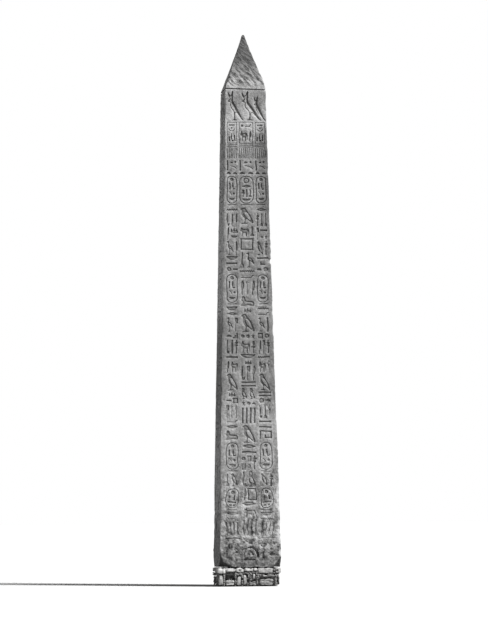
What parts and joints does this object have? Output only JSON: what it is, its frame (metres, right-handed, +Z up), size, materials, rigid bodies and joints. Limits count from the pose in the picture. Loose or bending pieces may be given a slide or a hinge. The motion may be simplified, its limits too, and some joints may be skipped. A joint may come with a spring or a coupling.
{
  "type": "obelisk on a rubble footing",
  "caption": "Tall tapering granite obelisk with a pyramidion and columns of sunk carving, standing on a low bed of packed stones.",
  "frame": {"origin": "ground level under the middle of the obelisk, on the underside of the footing", "axes": "+Z up along the obelisk, -Y out of the face that the picture shows, +X to the right of that face"},
  "size_m": [2.5976, 2.5487, 21.94],
  "materials": {
    "carved_granite": "matte",
    "packed_rubble": "matte",
    "bearing_stone": "matte",
    "packing_stone": "matte"
  },
  "bodies": {
    "root": {"back_bearing_stone_1": "bearing_stone", "back_bearing_stone_2": "bearing_stone", "back_bearing_stone_3": "bearing_stone", "back_bearing_stone_4": "bearing_stone", "back_bearing_stone_5": "bearing_stone", "back_packing_stone_1": "packing_stone", "back_packing_stone_2": "packing_stone", "back_packing_stone_3": "packing_stone", "footing_core": "packed_rubble", "front_bearing_stone_1": "bearing_stone", "front_bearing_stone_2": "bearing_stone", "front_bearing_stone_3": "bearing_stone", "front_bearing_stone_4": "bearing_stone", "front_bearing_stone_5": "bearing_stone", "front_bearing_stone_6": "bearing_stone", "front_packing_stone_1": "packing_stone", "front_packing_stone_2": "packing_stone", "front_packing_stone_3": "packing_stone", "front_packing_stone_4": "packing_stone", "front_packing_stone_5": "packing_stone", "front_packing_stone_6": "packing_stone", "front_packing_stone_7": "packing_stone", "front_packing_stone_8": "packing_stone", "front_packing_stone_9": "packing_stone", "left_bearing_stone_1": "bearing_stone", "left_bearing_stone_2": "bearing_stone", "left_bearing_stone_3": "bearing_stone", "left_bearing_stone_4": "bearing_stone", "left_bearing_stone_5": "bearing_stone", "left_packing_stone_1": "packing_stone", "left_packing_stone_2": "packing_stone", "left_packing_stone_3": "packing_stone", "obelisk_monolith": "carved_granite", "right_bearing_stone_1": "bearing_stone", "right_bearing_stone_2": "bearing_stone", "right_bearing_stone_3": "bearing_stone", "right_bearing_stone_4": "bearing_stone", "right_bearing_stone_5": "bearing_stone", "right_packing_stone_1": "packing_stone", "right_packing_stone_2": "packing_stone", "right_packing_stone_3": "packing_stone"}
  },
  "joints": []
}
